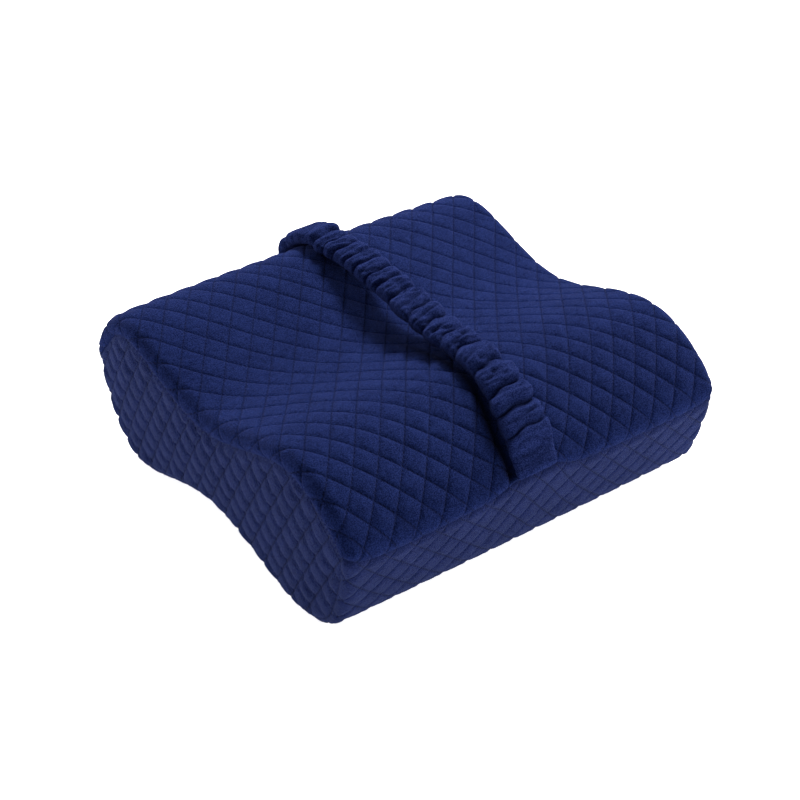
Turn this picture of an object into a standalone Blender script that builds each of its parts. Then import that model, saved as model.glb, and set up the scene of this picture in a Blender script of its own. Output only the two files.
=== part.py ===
"""Contoured knee pillow in a quilted velour cover, with a gathered elastic strap.

The pillow is one filled cushion. Its side outline has a rounded lobe at the
front and at the back, a hollow on top and an arch below. The strap is sewn
into the front seam and the back seam and crosses the hollow in the middle.

Frame: X runs along the hollow, -Y is the front lobe, +Z is up, the origin is
on the floor at the middle of the pillow. All values are in metres.
"""

import math

import bmesh
import bpy
import numpy as np
from mathutils import Vector
from mathutils.geometry import delaunay_2d_cdt

MM = 0.001

# Pillow: side outline
# One row for each place round the side outline, from the front seam down and
# round to the front shoulder. The first pair is the outline at the middle of
# the pillow, the second pair the outline near its ends (Y and Z, mm).
OUTLINE = (
    ("front seam", -123.0, 55.5, -121.5, 52.5),
    ("front face", -114.5, 24.5, -113.0, 23.5),
    ("front heel", -104.0, 8.5, -104.0, 9.0),
    ("front contact", -73.0, 0.0, -73.0, 0.0),
    ("arch", 4.0, 15.0, 4.0, 19.0),
    ("back contact", 76.0, 0.0, 76.0, 0.0),
    ("back heel", 104.0, 6.5, 99.0, 6.5),
    ("back face", 118.5, 29.0, 115.0, 31.0),
    ("back seam", 123.5, 54.5, 122.5, 55.0),
    ("back shoulder", 121.5, 72.5, 121.0, 69.5),
    ("back crest", 94.0, 95.0, 92.0, 94.5),
    ("hollow", 14.0, 81.5, 12.0, 75.0),
    ("front crest", -74.0, 93.5, -74.5, 93.5),
    ("front shoulder", -121.5, 64.5, -121.0, 64.0),
)
BACK_SEAM_ROW = 8

LENGTH = 250 * MM
END_BLEND_POWER = 3.0
EDGE_RADIUS = 9.5 * MM
END_BULGE = 1.6 * MM
BULGE_REACH = 28 * MM
SPLINE_STEPS = 960

# Quilting: half diagonals of a diamond, and how deep its stitching sinks
HALF_ACROSS = 7.84 * MM
HALF_ALONG = 10.3 * MM
STITCH_SINK = 1.4 * MM
SEAM_SINK = 1.8 * MM
END_STITCH_SINK = 1.2 * MM
END_MARGIN = 3.6 * MM
END_LATTICE_HEIGHT = 47 * MM
FLAT_LIMIT = 1.9 * MM

# Rings of the rounded ends, as angles round the edge radius (degrees)
EDGE_ANGLES = (42.0, 78.0)

# Strap
STRAP_WIDTH = 22.5 * MM
STRAP_THICKNESS = 9.2 * MM
STRAP_GAP = 0.5 * MM
STRAP_FRONT_INSET = 4.5 * MM
STRAP_BACK_INSET = 1.0 * MM

# Its flat sewn ends, and how far from them the strap narrows and fills out
TAB_WIDTH = 28.5 * MM
TAB_THICKNESS = 4.2 * MM
TAB_LENGTH = 16 * MM
FILL_REACH = 14 * MM
NARROWING_REACH = 48 * MM

# Where it lies across the pillow: off the middle, and pulled over at the front
STRAP_SIDE = 4.0 * MM
STRAP_FRONT_SLIP = -10.0 * MM
STRAP_SLIP_REACH = 150 * MM

# Its gathers
GATHER_PITCH = 13 * MM
STEPS_PER_GATHER = 4
CREASE_DEPTH = 0.32
EDGE_SCALLOP = 0.08
GATHER_UNEVEN = 0.10
CREASE_LEAN = 1.2 * MM
SIDE_SLIP = 0.5 * MM
SECTION_POINTS = 14
SECTION_SQUARENESS = 0.62

COLLECTION = "knee_pillow"


def clear_scene():
    """Remove the objects that the scene starts with."""
    for item in list(bpy.data.objects):
        bpy.data.objects.remove(item, do_unlink=True)


def velour(name, colour, roughness):
    """Return a plain fabric material."""
    material = bpy.data.materials.new(name)
    material.use_nodes = True
    shader = material.node_tree.nodes["Principled BSDF"]
    shader.inputs["Base Color"].default_value = (*colour, 1.0)
    shader.inputs["Roughness"].default_value = roughness
    shader.inputs["Metallic"].default_value = 0.0
    return material


def closed_spline(knots, values):
    """Return a function that reads a closed cubic spline at any fraction of its round."""
    count = len(values)
    step = np.diff(np.append(knots, 1.0))
    system = np.zeros((count, count))
    right = np.zeros_like(values)
    for row in range(count):
        before = step[row - 1]
        after = step[row]
        following = (row + 1) % count
        system[row, row - 1] += before
        system[row, row] += 2 * (before + after)
        system[row, following] += after
        rise_after = (values[following] - values[row]) / after
        rise_before = (values[row] - values[row - 1]) / before
        right[row] = 6 * (rise_after - rise_before)
    bend = np.linalg.solve(system, right)

    def read(fractions):
        wrapped = np.mod(fractions, 1.0)
        span = np.clip(np.searchsorted(knots, wrapped, side="right") - 1, 0, count - 1)
        ahead = (span + 1) % count
        width = step[span][:, None]
        near = (wrapped - knots[span])[:, None] / width
        far = 1.0 - near
        curve = far * values[span] + near * values[ahead]
        curve += width ** 2 / 6 * ((far ** 3 - far) * bend[span] + (near ** 3 - near) * bend[ahead])
        return curve

    return read


class Outline:
    """The side outline of the pillow, at its middle and towards its ends."""

    def __init__(self):
        rows = np.array([row[1:] for row in OUTLINE]) * MM
        self.mid = rows[:, :2]
        self.change = rows[:, 2:] - self.mid
        chords = np.linalg.norm(np.roll(self.mid, -1, axis=0) - self.mid, axis=1) ** 0.5
        self.knots = np.concatenate([[0.0], np.cumsum(chords)[:-1]]) / chords.sum()
        self.read_mid = closed_spline(self.knots, self.mid)
        self.read_change = closed_spline(self.knots, self.change)
        dense = self.read_mid(np.linspace(0.0, 1.0, SPLINE_STEPS, endpoint=False))
        low = dense.min(axis=0)
        high = dense.max(axis=0)
        self.shift = np.array([-(low[0] + high[0]) / 2, 0.0])

    def evenly(self, start, end, pitch):
        """Return outline fractions a pitch apart between two places, the last one left out."""
        fine = np.linspace(start, end, SPLINE_STEPS)
        points = self.read_mid(fine)
        travelled = np.concatenate([[0.0], np.cumsum(np.linalg.norm(np.diff(points, axis=0), axis=1))])
        cells = max(2, round(travelled[-1] / pitch))
        return np.interp(np.arange(cells) / cells * travelled[-1], travelled, fine)

    def place(self, fractions, x, inset=0.0):
        """Return Y and Z of outline places at X, drawn in by an inset along the normal."""
        blend = (abs(x) / (LENGTH / 2)) ** END_BLEND_POWER
        small = 1.0e-4
        points = self.read_mid(fractions) + blend * self.read_change(fractions)
        ahead = self.read_mid(fractions + small) + blend * self.read_change(fractions + small)
        behind = self.read_mid(fractions - small) + blend * self.read_change(fractions - small)
        along = ahead - behind
        along /= np.linalg.norm(along, axis=1)[:, None]
        inward = np.column_stack([-along[:, 1], along[:, 0]])
        return points + inward * np.reshape(inset, (-1, 1)) + self.shift


def flatten_contact(points, cut):
    """Lower the lowest stretches of an outline onto the floor, so that they lie flat."""
    low = points[:, 1] < cut
    points[low, 1] = 0.0
    return points


def skin_rows(outline):
    """Return the outline fractions of the skin's rows, and which of them are seams."""
    back = outline.knots[BACK_SEAM_ROW]
    under = outline.evenly(0.0, back, HALF_ALONG)
    over = outline.evenly(back, 1.0, HALF_ALONG)
    rows = np.concatenate([under, over])
    seam = np.zeros(len(rows), dtype=bool)
    seam[0] = True
    seam[len(under)] = True
    return rows, seam


def skin_columns():
    """Return X, drawn-in depth and puff share for each ring along the pillow."""
    half = LENGTH / 2 - END_BULGE
    flat_half = half - EDGE_RADIUS
    count = int(flat_half / HALF_ACROSS)
    columns = [(step * HALF_ACROSS, 0.0, 1.0, step) for step in range(-count, count + 1)]
    for side in (-1, 1):
        for turn, angle in enumerate(EDGE_ANGLES):
            lean = math.radians(angle)
            x = side * (flat_half + EDGE_RADIUS * math.sin(lean))
            drawn = EDGE_RADIUS * (1.0 - math.cos(lean))
            share = 0.5 if turn == 0 else 0.0
            columns.append((x, drawn, share, side * (count + 1 + turn)))
    return sorted(columns)


def skin_point_rows(outline, rows, seam):
    """Return every ring's Y and Z, with crossings of the stitching sunk in."""
    rings = []
    for x, drawn, share, step in skin_columns():
        crossing = (np.arange(len(rows)) + step) % 2 == 0
        sink = np.where(crossing, STITCH_SINK * share, 0.0)
        sink = np.where(seam, SEAM_SINK, sink)
        smooth = outline.place(rows, x, drawn)
        ring = outline.place(rows, x, drawn + sink)
        resting = smooth[:, 1] < FLAT_LIMIT + drawn
        ring[resting] = smooth[resting]
        if drawn == 0.0:
            ring = flatten_contact(ring, FLAT_LIMIT)
        rings.append((x, ring))
    return rings


def distance_to_ring(point, ring):
    """Return how far a Y and Z point is from a closed ring, negative outside it."""
    start = ring
    along = np.roll(ring, -1, axis=0) - ring
    to_point = point - start
    share = np.clip((to_point * along).sum(axis=1) / (along ** 2).sum(axis=1), 0.0, 1.0)
    gaps = np.linalg.norm(to_point - along * share[:, None], axis=1)
    spans = (start[:, 1] > point[1]) != (start[:, 1] + along[:, 1] > point[1])
    rise = np.where(along[:, 1] == 0.0, 1.0, along[:, 1])
    meets = start[:, 0] + along[:, 0] * (point[1] - start[:, 1]) / rise
    inside = np.count_nonzero(spans & (meets > point[0])) % 2 == 1
    return gaps.min() if inside else -gaps.min()


def end_lattice(ring):
    """Return the stitched points of an end panel and the pairs that a stitch line joins."""
    reach_y = math.ceil(np.abs(ring[:, 0]).max() / HALF_ACROSS)
    reach_z = math.ceil(np.abs(ring[:, 1] - END_LATTICE_HEIGHT).max() / HALF_ALONG)
    found = {}
    points = []
    for column in range(-reach_y, reach_y + 1):
        for level in range(-reach_z, reach_z + 1):
            point = np.array([column * HALF_ACROSS, END_LATTICE_HEIGHT + level * HALF_ALONG])
            gap = distance_to_ring(point, ring)
            if gap > END_MARGIN:
                found[column, level] = len(points)
                points.append((point, gap, (column + level) % 2 == 0))
    stitches = []
    for (column, level), index in found.items():
        for rise in (-1, 1):
            other = found.get((column + 1, level + rise))
            if (column + level) % 2 == 0 and other is not None:
                stitches.append((index, other))
    return points, stitches


def add_end_panel(bm, ring_verts, side):
    """Fill one end of the skin with a quilted panel that swells a little."""
    ring = np.array([(vert.co.y, vert.co.z) for vert in ring_verts])
    seam_x = ring_verts[0].co.x
    points, stitches = end_lattice(ring)
    count = len(ring_verts)
    flat = [Vector(place) for place in ring] + [Vector(place) for place, gap, crossing in points]
    edges = [(index, (index + 1) % count) for index in range(count)]
    edges += [(count + first, count + second) for first, second in stitches]
    places, _, faces, _, _, _ = delaunay_2d_cdt(flat, edges, [], 1, 1.0e-7)
    verts = list(ring_verts)
    for place, gap, crossing in points:
        swell = END_BULGE * (1.0 - (1.0 - min(gap / BULGE_REACH, 1.0)) ** 2)
        sink = END_STITCH_SINK if crossing else 0.0
        verts.append(bm.verts.new((seam_x + side * (swell - sink), place[0], place[1])))
    for face in faces:
        bm.faces.new([verts[index] for index in face])


def build_pillow(material, collection):
    """Make the filled cushion: a closed skin with quilting, seams and end panels."""
    outline = Outline()
    rows, seam = skin_rows(outline)
    rings = skin_point_rows(outline, rows, seam)
    bm = bmesh.new()
    bmesh.ops.create_grid(bm, x_segments=len(rings) - 1, y_segments=len(rows), size=1.0)
    bm.verts.ensure_lookup_table()
    order = sorted(bm.verts, key=lambda vert: (round(vert.co.x, 6), round(vert.co.y, 6)))
    grid = [order[start:start + len(rows) + 1] for start in range(0, len(order), len(rows) + 1)]
    for (x, ring), column in zip(rings, grid):
        for index, vert in enumerate(column):
            y, z = ring[index % len(rows)]
            vert.co = (x, y, z)
    split_along_stitches(bm, grid)
    bmesh.ops.remove_doubles(bm, verts=bm.verts[:], dist=1.0e-6)
    for side, column in ((-1, grid[0]), (1, grid[-1])):
        kept = [vert for vert in column if vert.is_valid]
        add_end_panel(bm, kept, side)
    return mesh_object("pillow", bm, material, collection)


def split_along_stitches(bm, grid):
    """Cut each cell of the skin from stitch crossing to stitch crossing."""
    half = len(grid) // 2
    for column in range(len(grid) - 1):
        for row in range(len(grid[0]) - 1):
            left = grid[column]
            right = grid[column + 1]
            rising = (column - half + row) % 2 == 0
            pair = (left[row], right[row + 1]) if rising else (right[row], left[row + 1])
            bmesh.ops.connect_verts(bm, verts=pair)


def taut_line(points):
    """Return the upper side of the shape that a taut strap makes over points sorted by Y."""
    upper = []
    for point in points:
        while len(upper) > 1:
            step = Vector(upper[-1]) - Vector(upper[-2])
            reach = Vector(point) - Vector(upper[-2])
            if step.cross(reach) < 0:
                break
            upper.pop()
        upper.append(point)
    return np.array(upper)


def strap_route():
    """Return evenly spaced points of the strap's underside, from the front seam to the back seam."""
    outline = Outline()
    back = outline.knots[BACK_SEAM_ROW]
    over = outline.place(np.linspace(1.0, back, SPLINE_STEPS), 0.0, -STRAP_GAP)
    taut = taut_line(sorted(map(tuple, over)))
    travelled = np.concatenate([[0.0], np.cumsum(np.linalg.norm(np.diff(taut, axis=0), axis=1))])
    gathers = round(travelled[-1] / GATHER_PITCH)
    steps = gathers * STEPS_PER_GATHER
    places = np.linspace(STRAP_FRONT_INSET, travelled[-1] - STRAP_BACK_INSET, steps + 1)
    route = np.column_stack([np.interp(places, travelled, taut[:, axis]) for axis in (0, 1)])
    return route, places, travelled[-1]


def smooth_step(share):
    """Return a share from 0 to 1 with an eased start and end."""
    held = min(1.0, max(0.0, share))
    return held * held * (3.0 - 2.0 * held)


def strap_section(step, place, total):
    """Return the width, thickness, side slip and lean of the gathered strap at one step."""
    from_end = min(place, total - place)
    fullness = smooth_step((from_end - TAB_LENGTH) / FILL_REACH)
    gather = step // STEPS_PER_GATHER
    phase = (step % STEPS_PER_GATHER) / STEPS_PER_GATHER
    crease = 1.0 - math.sin(math.pi * phase)
    uneven = math.sin(2.3 * gather) * math.cos(0.71 * gather + 0.4)
    thickness = STRAP_THICKNESS * (1.0 + GATHER_UNEVEN * uneven - CREASE_DEPTH * crease)
    thickness = TAB_THICKNESS + (thickness - TAB_THICKNESS) * fullness
    spread = max(0.0, 1.0 - from_end / NARROWING_REACH) ** 2
    width = STRAP_WIDTH * (1.0 - EDGE_SCALLOP * crease * fullness)
    width += (TAB_WIDTH - STRAP_WIDTH) * spread
    pull = max(0.0, 1.0 - place / STRAP_SLIP_REACH) ** 2
    slip = STRAP_SIDE + STRAP_FRONT_SLIP * pull + SIDE_SLIP * uneven * fullness
    lean = CREASE_LEAN * math.sin(1.9 * gather + 0.6) * fullness
    return width, thickness, slip, lean


def build_strap(material, collection):
    """Make the gathered strap as one closed tube of ridges, flat at its sewn ends."""
    route, places, total = strap_route()
    bm = bmesh.new()
    bmesh.ops.create_cone(
        bm,
        cap_ends=True,
        cap_tris=False,
        segments=SECTION_POINTS,
        radius1=1.0,
        radius2=1.0,
        depth=2.0,
    )
    sides = [edge for edge in bm.edges if abs(edge.verts[0].co.z - edge.verts[1].co.z) > 1.0]
    bmesh.ops.subdivide_edges(bm, edges=sides, cuts=len(route) - 2, use_grid_fill=False)
    levels = sorted({round(vert.co.z, 5) for vert in bm.verts})
    step_of = {level: index for index, level in enumerate(levels)}
    along = np.gradient(route, axis=0)
    along /= np.linalg.norm(along, axis=1)[:, None]
    for vert in bm.verts:
        step = step_of[round(vert.co.z, 5)]
        angle = math.atan2(vert.co.y, vert.co.x)
        width, thickness, slip, lean = strap_section(step, places[step], total)
        across = math.copysign(abs(math.cos(angle)) ** SECTION_SQUARENESS, math.cos(angle))
        lift = math.copysign(abs(math.sin(angle)) ** SECTION_SQUARENESS, math.sin(angle))
        rise = thickness * (0.5 + 0.5 * lift)
        forward = along[step]
        outward = np.array([-forward[1], forward[0]])
        y, z = route[step] + outward * rise + forward * lean * across
        vert.co = (slip + across * width / 2, y, z)
    return mesh_object("strap", bm, material, collection)


def mesh_object(name, bm, material, collection):
    """Turn a bmesh into a named object with one material, its faces pointing out."""
    bmesh.ops.triangulate(bm, faces=bm.faces[:])
    bm.normal_update()
    bmesh.ops.recalc_face_normals(bm, faces=bm.faces[:])
    mesh = bpy.data.meshes.new(name)
    bm.to_mesh(mesh)
    bm.free()
    mesh.materials.append(material)
    mesh.shade_smooth()
    made = bpy.data.objects.new(name, mesh)
    collection.objects.link(made)
    return made


def main():
    """Build the pillow and its strap."""
    clear_scene()
    collection = bpy.data.collections.new(COLLECTION)
    bpy.context.scene.collection.children.link(collection)
    quilted = velour("quilted_velour", (0.024, 0.034, 0.135), 0.9)
    plain = velour("plain_velour", (0.028, 0.039, 0.150), 0.9)
    build_pillow(quilted, collection)
    build_strap(plain, collection)


main()
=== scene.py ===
"""Contoured knee pillow in quilted navy velour, dressed for a plain studio picture.

The script repeats the driving sizes of the plain solids and sews the look over
them: a cover with puffed diamonds, sunk stitches and pressed seams, and a
gathered velour strap over the hollow. Lengths are in metres, +X runs along the
hollow, -Y is the front lobe and +Z is up.
"""

import logging
import math
from dataclasses import dataclass
from enum import Enum

import bpy
import numpy as np
from mathutils import Matrix, Vector
from mathutils.geometry import delaunay_2d_cdt


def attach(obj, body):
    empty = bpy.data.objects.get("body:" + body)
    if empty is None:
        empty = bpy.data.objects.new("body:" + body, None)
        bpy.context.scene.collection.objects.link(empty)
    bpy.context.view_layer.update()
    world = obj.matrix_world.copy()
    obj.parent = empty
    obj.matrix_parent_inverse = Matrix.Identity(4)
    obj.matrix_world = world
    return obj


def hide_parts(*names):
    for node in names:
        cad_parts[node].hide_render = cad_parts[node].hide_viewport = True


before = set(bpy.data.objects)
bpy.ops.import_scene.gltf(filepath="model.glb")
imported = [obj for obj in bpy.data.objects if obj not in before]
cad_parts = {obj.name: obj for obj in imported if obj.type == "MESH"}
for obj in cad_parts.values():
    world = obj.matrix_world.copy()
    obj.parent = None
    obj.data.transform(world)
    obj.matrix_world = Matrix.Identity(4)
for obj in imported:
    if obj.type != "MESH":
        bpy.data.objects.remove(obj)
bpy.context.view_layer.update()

MM = 0.001
TINY = 1.0e-12
TRIANGLES_INSIDE = 1
LOG = logging.getLogger("knee_pillow")

# Side outline, one row for each place from the front seam down and round to
# the front shoulder: Y and Z at the middle of the pillow, then near its ends
# (mm). The places were fitted to the whole pillow in the photo and rounded.
OUTLINE: tuple[tuple[str, float, float, float, float], ...] = (
    ("front seam", -123.0, 55.5, -121.5, 52.5),
    ("front face", -114.5, 24.5, -113.0, 23.5),
    ("front heel", -104.0, 8.5, -104.0, 9.0),
    ("front contact", -73.0, 0.0, -73.0, 0.0),
    ("arch", 4.0, 15.0, 4.0, 19.0),
    ("back contact", 76.0, 0.0, 76.0, 4.0),
    ("back heel", 104.0, 6.5, 98.5, 10.0),
    ("back face", 118.5, 29.0, 115.0, 31.0),
    ("back seam", 123.5, 54.5, 122.5, 55.0),
    ("back shoulder", 121.5, 72.5, 121.0, 69.5),
    ("back crest", 94.0, 95.0, 92.0, 94.5),
    ("hollow", 14.0, 81.5, 12.0, 75.0),
    ("front crest", -74.0, 93.5, -74.5, 93.5),
    ("front shoulder", -121.5, 64.5, -121.0, 64.0),
)
BACK_SEAM_ROW = [row[0] for row in OUTLINE].index("back seam")

# How far the wrap runs past the start of its rounded edge to reach the end
# seam, by the distance down from the front seam and round (mm).
EDGE_RUN: tuple[tuple[str, float, float], ...] = (
    ("front seam", 0.0, 10.1),
    ("front strip", 14.0, 7.9),
    ("front heel", 42.0, 7.9),
    ("front contact", 64.0, 4.8),
    ("back face", 262.0, 4.8),
    ("back shoulder", 314.0, 4.8),
    ("back crest", 344.0, 12.1),
    ("front shoulder", 584.0, 12.1),
    ("front seam again", 612.0, 10.1),
)


class Side(Enum):
    """The two ends of the pillow, by the sign of X."""

    LEFT = -1
    RIGHT = 1


class ClothCopy(Enum):
    """Which copy of the cloth a face gets, by its finish number: the plain top, or the sides painted lighter
    and greyer.
    """

    PLAIN_TOP = 0
    SIDES_PAINTED_LIGHTER = 1


def smooth_step(low: float, high: float, values: np.ndarray) -> np.ndarray:
    """Ease values from 0 at a low mark to 1 at a high mark.

    Args:
        low: The mark at which the result leaves 0.
        high: The mark at which the result reaches 1.
        values: The values to ease.

    Returns:
        Shares from 0 to 1.
    """
    share = np.clip((values - low) / (high - low), 0.0, 1.0)
    return share * share * (3.0 - 2.0 * share)


def unit(vectors: np.ndarray) -> np.ndarray:
    """Return vectors, held in the last axis, at length 1."""
    return vectors / np.maximum(np.linalg.norm(vectors, axis=-1, keepdims=True), TINY)


def rounded_in(gap: np.ndarray, reach: float) -> np.ndarray:
    """Return shares that grow in a round curve from 0 at no gap to 1 at a reach."""
    return 1.0 - (1.0 - np.minimum(gap / reach, 1.0)) ** 2


def bell(away: np.ndarray, reach: float) -> np.ndarray:
    """Return shares that fall in a bell curve from 1 as something gets farther away."""
    return np.exp(-((away / reach) ** 2))


def set_out(name: str, data: bpy.types.ID) -> bpy.types.Object:
    """Make an object that holds some data.

    Args:
        name: The name of the object.
        data: Its mesh, light or camera.

    Returns:
        The object, linked to the scene.
    """
    made = bpy.data.objects.new(name, data)
    bpy.context.scene.collection.objects.link(made)
    return made


class ClosedSpline:
    """A closed cubic spline through points, read at any fraction of its round."""

    def __init__(self, knots: np.ndarray, points: np.ndarray) -> None:
        """Solve for the bend at each point.

        Args:
            knots: The fraction of the round at each point, from 0.
            points: The points, one a row.
        """
        count = len(points)
        steps = np.diff(np.append(knots, 1.0))
        system = np.zeros((count, count))
        target = np.zeros_like(points)
        for row in range(count):
            before, after = steps[row - 1], steps[row]
            following = (row + 1) % count
            system[row, row - 1] += before
            system[row, row] += 2.0 * (before + after)
            system[row, following] += after
            rise_after = (points[following] - points[row]) / after
            rise_before = (points[row] - points[row - 1]) / before
            target[row] = 6.0 * (rise_after - rise_before)
        self.knots = knots
        self.steps = steps
        self.points = points
        self.bend = np.linalg.solve(system, target)

    def read(self, fractions: np.ndarray) -> np.ndarray:
        """Read the spline.

        Args:
            fractions: Fractions of the round.

        Returns:
            One point for each fraction.
        """
        wrapped = np.mod(fractions, 1.0)
        count = len(self.points)
        span = np.clip(np.searchsorted(self.knots, wrapped, side="right") - 1, 0, count - 1)
        ahead = (span + 1) % count
        width = self.steps[span][:, None]
        near = (wrapped - self.knots[span])[:, None] / width
        far = 1.0 - near
        line = far * self.points[span] + near * self.points[ahead]
        sag = (far**3 - far) * self.bend[span] + (near**3 - near) * self.bend[ahead]
        return line + width**2 / 6.0 * sag


@dataclass
class SideOutline:
    """The pillow's side outline, which changes a little towards the ends."""

    half_length: float = 125 * MM
    stand_out: float = 2.0 * MM
    blend_power: float = 3.0
    knot_power: float = 0.5
    table_steps: int = 6000
    probe: float = 1.0e-4

    def __post_init__(self) -> None:
        """Set up the splines and the distance round the outline."""
        rows = np.array([row[1:] for row in OUTLINE]) * MM
        middle = rows[:, :2]
        chords = np.linalg.norm(np.roll(middle, -1, axis=0) - middle, axis=1) ** self.knot_power
        knots = np.concatenate([[0.0], np.cumsum(chords)[:-1]]) / chords.sum()
        self.middle = ClosedSpline(knots, middle)
        self.change = ClosedSpline(knots, rows[:, 2:] - middle)
        self.fractions = np.linspace(0.0, 1.0, self.table_steps)
        dense = self.middle.read(self.fractions)
        strides = np.linalg.norm(np.diff(dense, axis=0), axis=1)
        self.travelled = np.concatenate([[0.0], np.cumsum(strides)])
        self.shift = np.array([-(dense[:, 0].min() + dense[:, 0].max()) / 2.0, 0.0])
        self.round = float(self.travelled[-1])
        self.back_seam = float(np.interp(knots[BACK_SEAM_ROW], self.fractions, self.travelled))

    def place(self, distance: np.ndarray, x: np.ndarray, inset: np.ndarray) -> np.ndarray:
        """Return Y and Z of places on the outline.

        Args:
            distance: Distances along the outline, down from the front seam.
            x: The place along the pillow of each.
            inset: How far the outline is drawn in at each.

        Returns:
            One row of Y and Z for each distance.
        """
        fraction = np.interp(np.mod(distance, self.round), self.travelled, self.fractions)
        blend = (np.minimum(1.0, np.abs(x) / self.half_length) ** self.blend_power)[:, None]
        points = self.middle.read(fraction) + blend * self.change.read(fraction)
        ahead = self.middle.read(fraction + self.probe) + blend * self.change.read(fraction + self.probe)
        behind = self.middle.read(fraction - self.probe) + blend * self.change.read(fraction - self.probe)
        along = unit(ahead - behind)
        inward = np.column_stack([-along[:, 1], along[:, 0]])
        return points + inward * inset[:, None] + self.shift


@dataclass
class Relief:
    """Heights of the cloth: its stitched level, the puffs over it, their full
    height, and where the cloth is held."""

    level: np.ndarray
    puffs: np.ndarray
    full: np.ndarray
    held: np.ndarray

    @classmethod
    def joined(cls, parts: list["Relief"]) -> "Relief":
        """Return the relief of several parts as one, point after point."""
        names = ("level", "puffs", "full", "held")
        return cls(*(np.concatenate([getattr(part, name).ravel() for part in parts]) for name in names))


@dataclass(frozen=True)
class Quilting:
    """Relief of the quilting: puffs between sunk lines of stitches, and seams."""

    sink: float = 0.64 * MM
    shoulder: float = 2.0 * MM
    thread_dip: float = 0.50 * MM
    thread_reach: float = 0.55 * MM
    knot_dip: float = 0.20 * MM
    knot_reach: float = 1.5 * MM
    seam_dip: float = 1.7 * MM
    seam_reach: float = 1.0 * MM
    seam_roll: float = 0.55 * MM
    seam_roll_place: float = 3.6 * MM
    seam_roll_reach: float = 1.9 * MM
    hold: float = 0.65 * MM
    calm_reach: float = 2.2 * MM
    calm_share: float = 0.35
    uneven_height: float = 0.13
    uneven_tilt: float = 0.45 * MM
    seed: int = 17
    table: tuple[int, int] = (61, 53)

    @property
    def seam_depth(self) -> float:
        """How far a seam lies below the top of the puffs."""
        return self.seam_dip + self.calm_share * self.sink

    def relief(
        self, first: np.ndarray, second: np.ndarray, spacing: tuple[float, float], seam_gap: np.ndarray
    ) -> Relief:
        """Return how the cloth stands out from the smooth form.

        Args:
            first: Coordinate that is whole on the first family of stitch lines.
            second: Coordinate that is whole on the second family.
            spacing: Distance between neighbouring lines of each family.
            seam_gap: Distance to the nearest seam.

        Returns:
            The relief, with its puffs' tops at 0.
        """
        gap_first = np.abs(first - np.round(first)) * spacing[0]
        gap_second = np.abs(second - np.round(second)) * spacing[1]
        puff = (1.0 - np.exp(-gap_first / self.shoulder)) * (1.0 - np.exp(-gap_second / self.shoulder))
        lots = np.random.default_rng(self.seed).uniform(-1.0, 1.0, (*self.table, 3))
        cell = lots[np.floor(first).astype(int) % self.table[0], np.floor(second).astype(int) % self.table[1]]
        tilt = cell[..., 1] * (first - np.floor(first) - 0.5)
        tilt = tilt + cell[..., 2] * (second - np.floor(second) - 0.5)
        calm = smooth_step(0.0, self.calm_reach, seam_gap)
        raised = puff * (self.sink * (1.0 + self.uneven_height * cell[..., 0]) + self.uneven_tilt * tilt)
        nearest = np.minimum(gap_first, gap_second)
        level = -self.sink - self.thread_dip * bell(nearest, self.thread_reach)
        level -= self.knot_dip * np.exp(-(gap_first**2 + gap_second**2) / self.knot_reach**2)
        level = level * calm - self.calm_share * self.sink * (1.0 - calm)
        level -= self.seam_dip * np.exp(-seam_gap / self.seam_reach)
        level += self.seam_roll * bell(seam_gap - self.seam_roll_place, self.seam_roll_reach)
        held = np.minimum(nearest, seam_gap) < self.hold
        return Relief(level=level, puffs=raised * calm, full=np.full(level.shape, self.sink), held=held)


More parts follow.
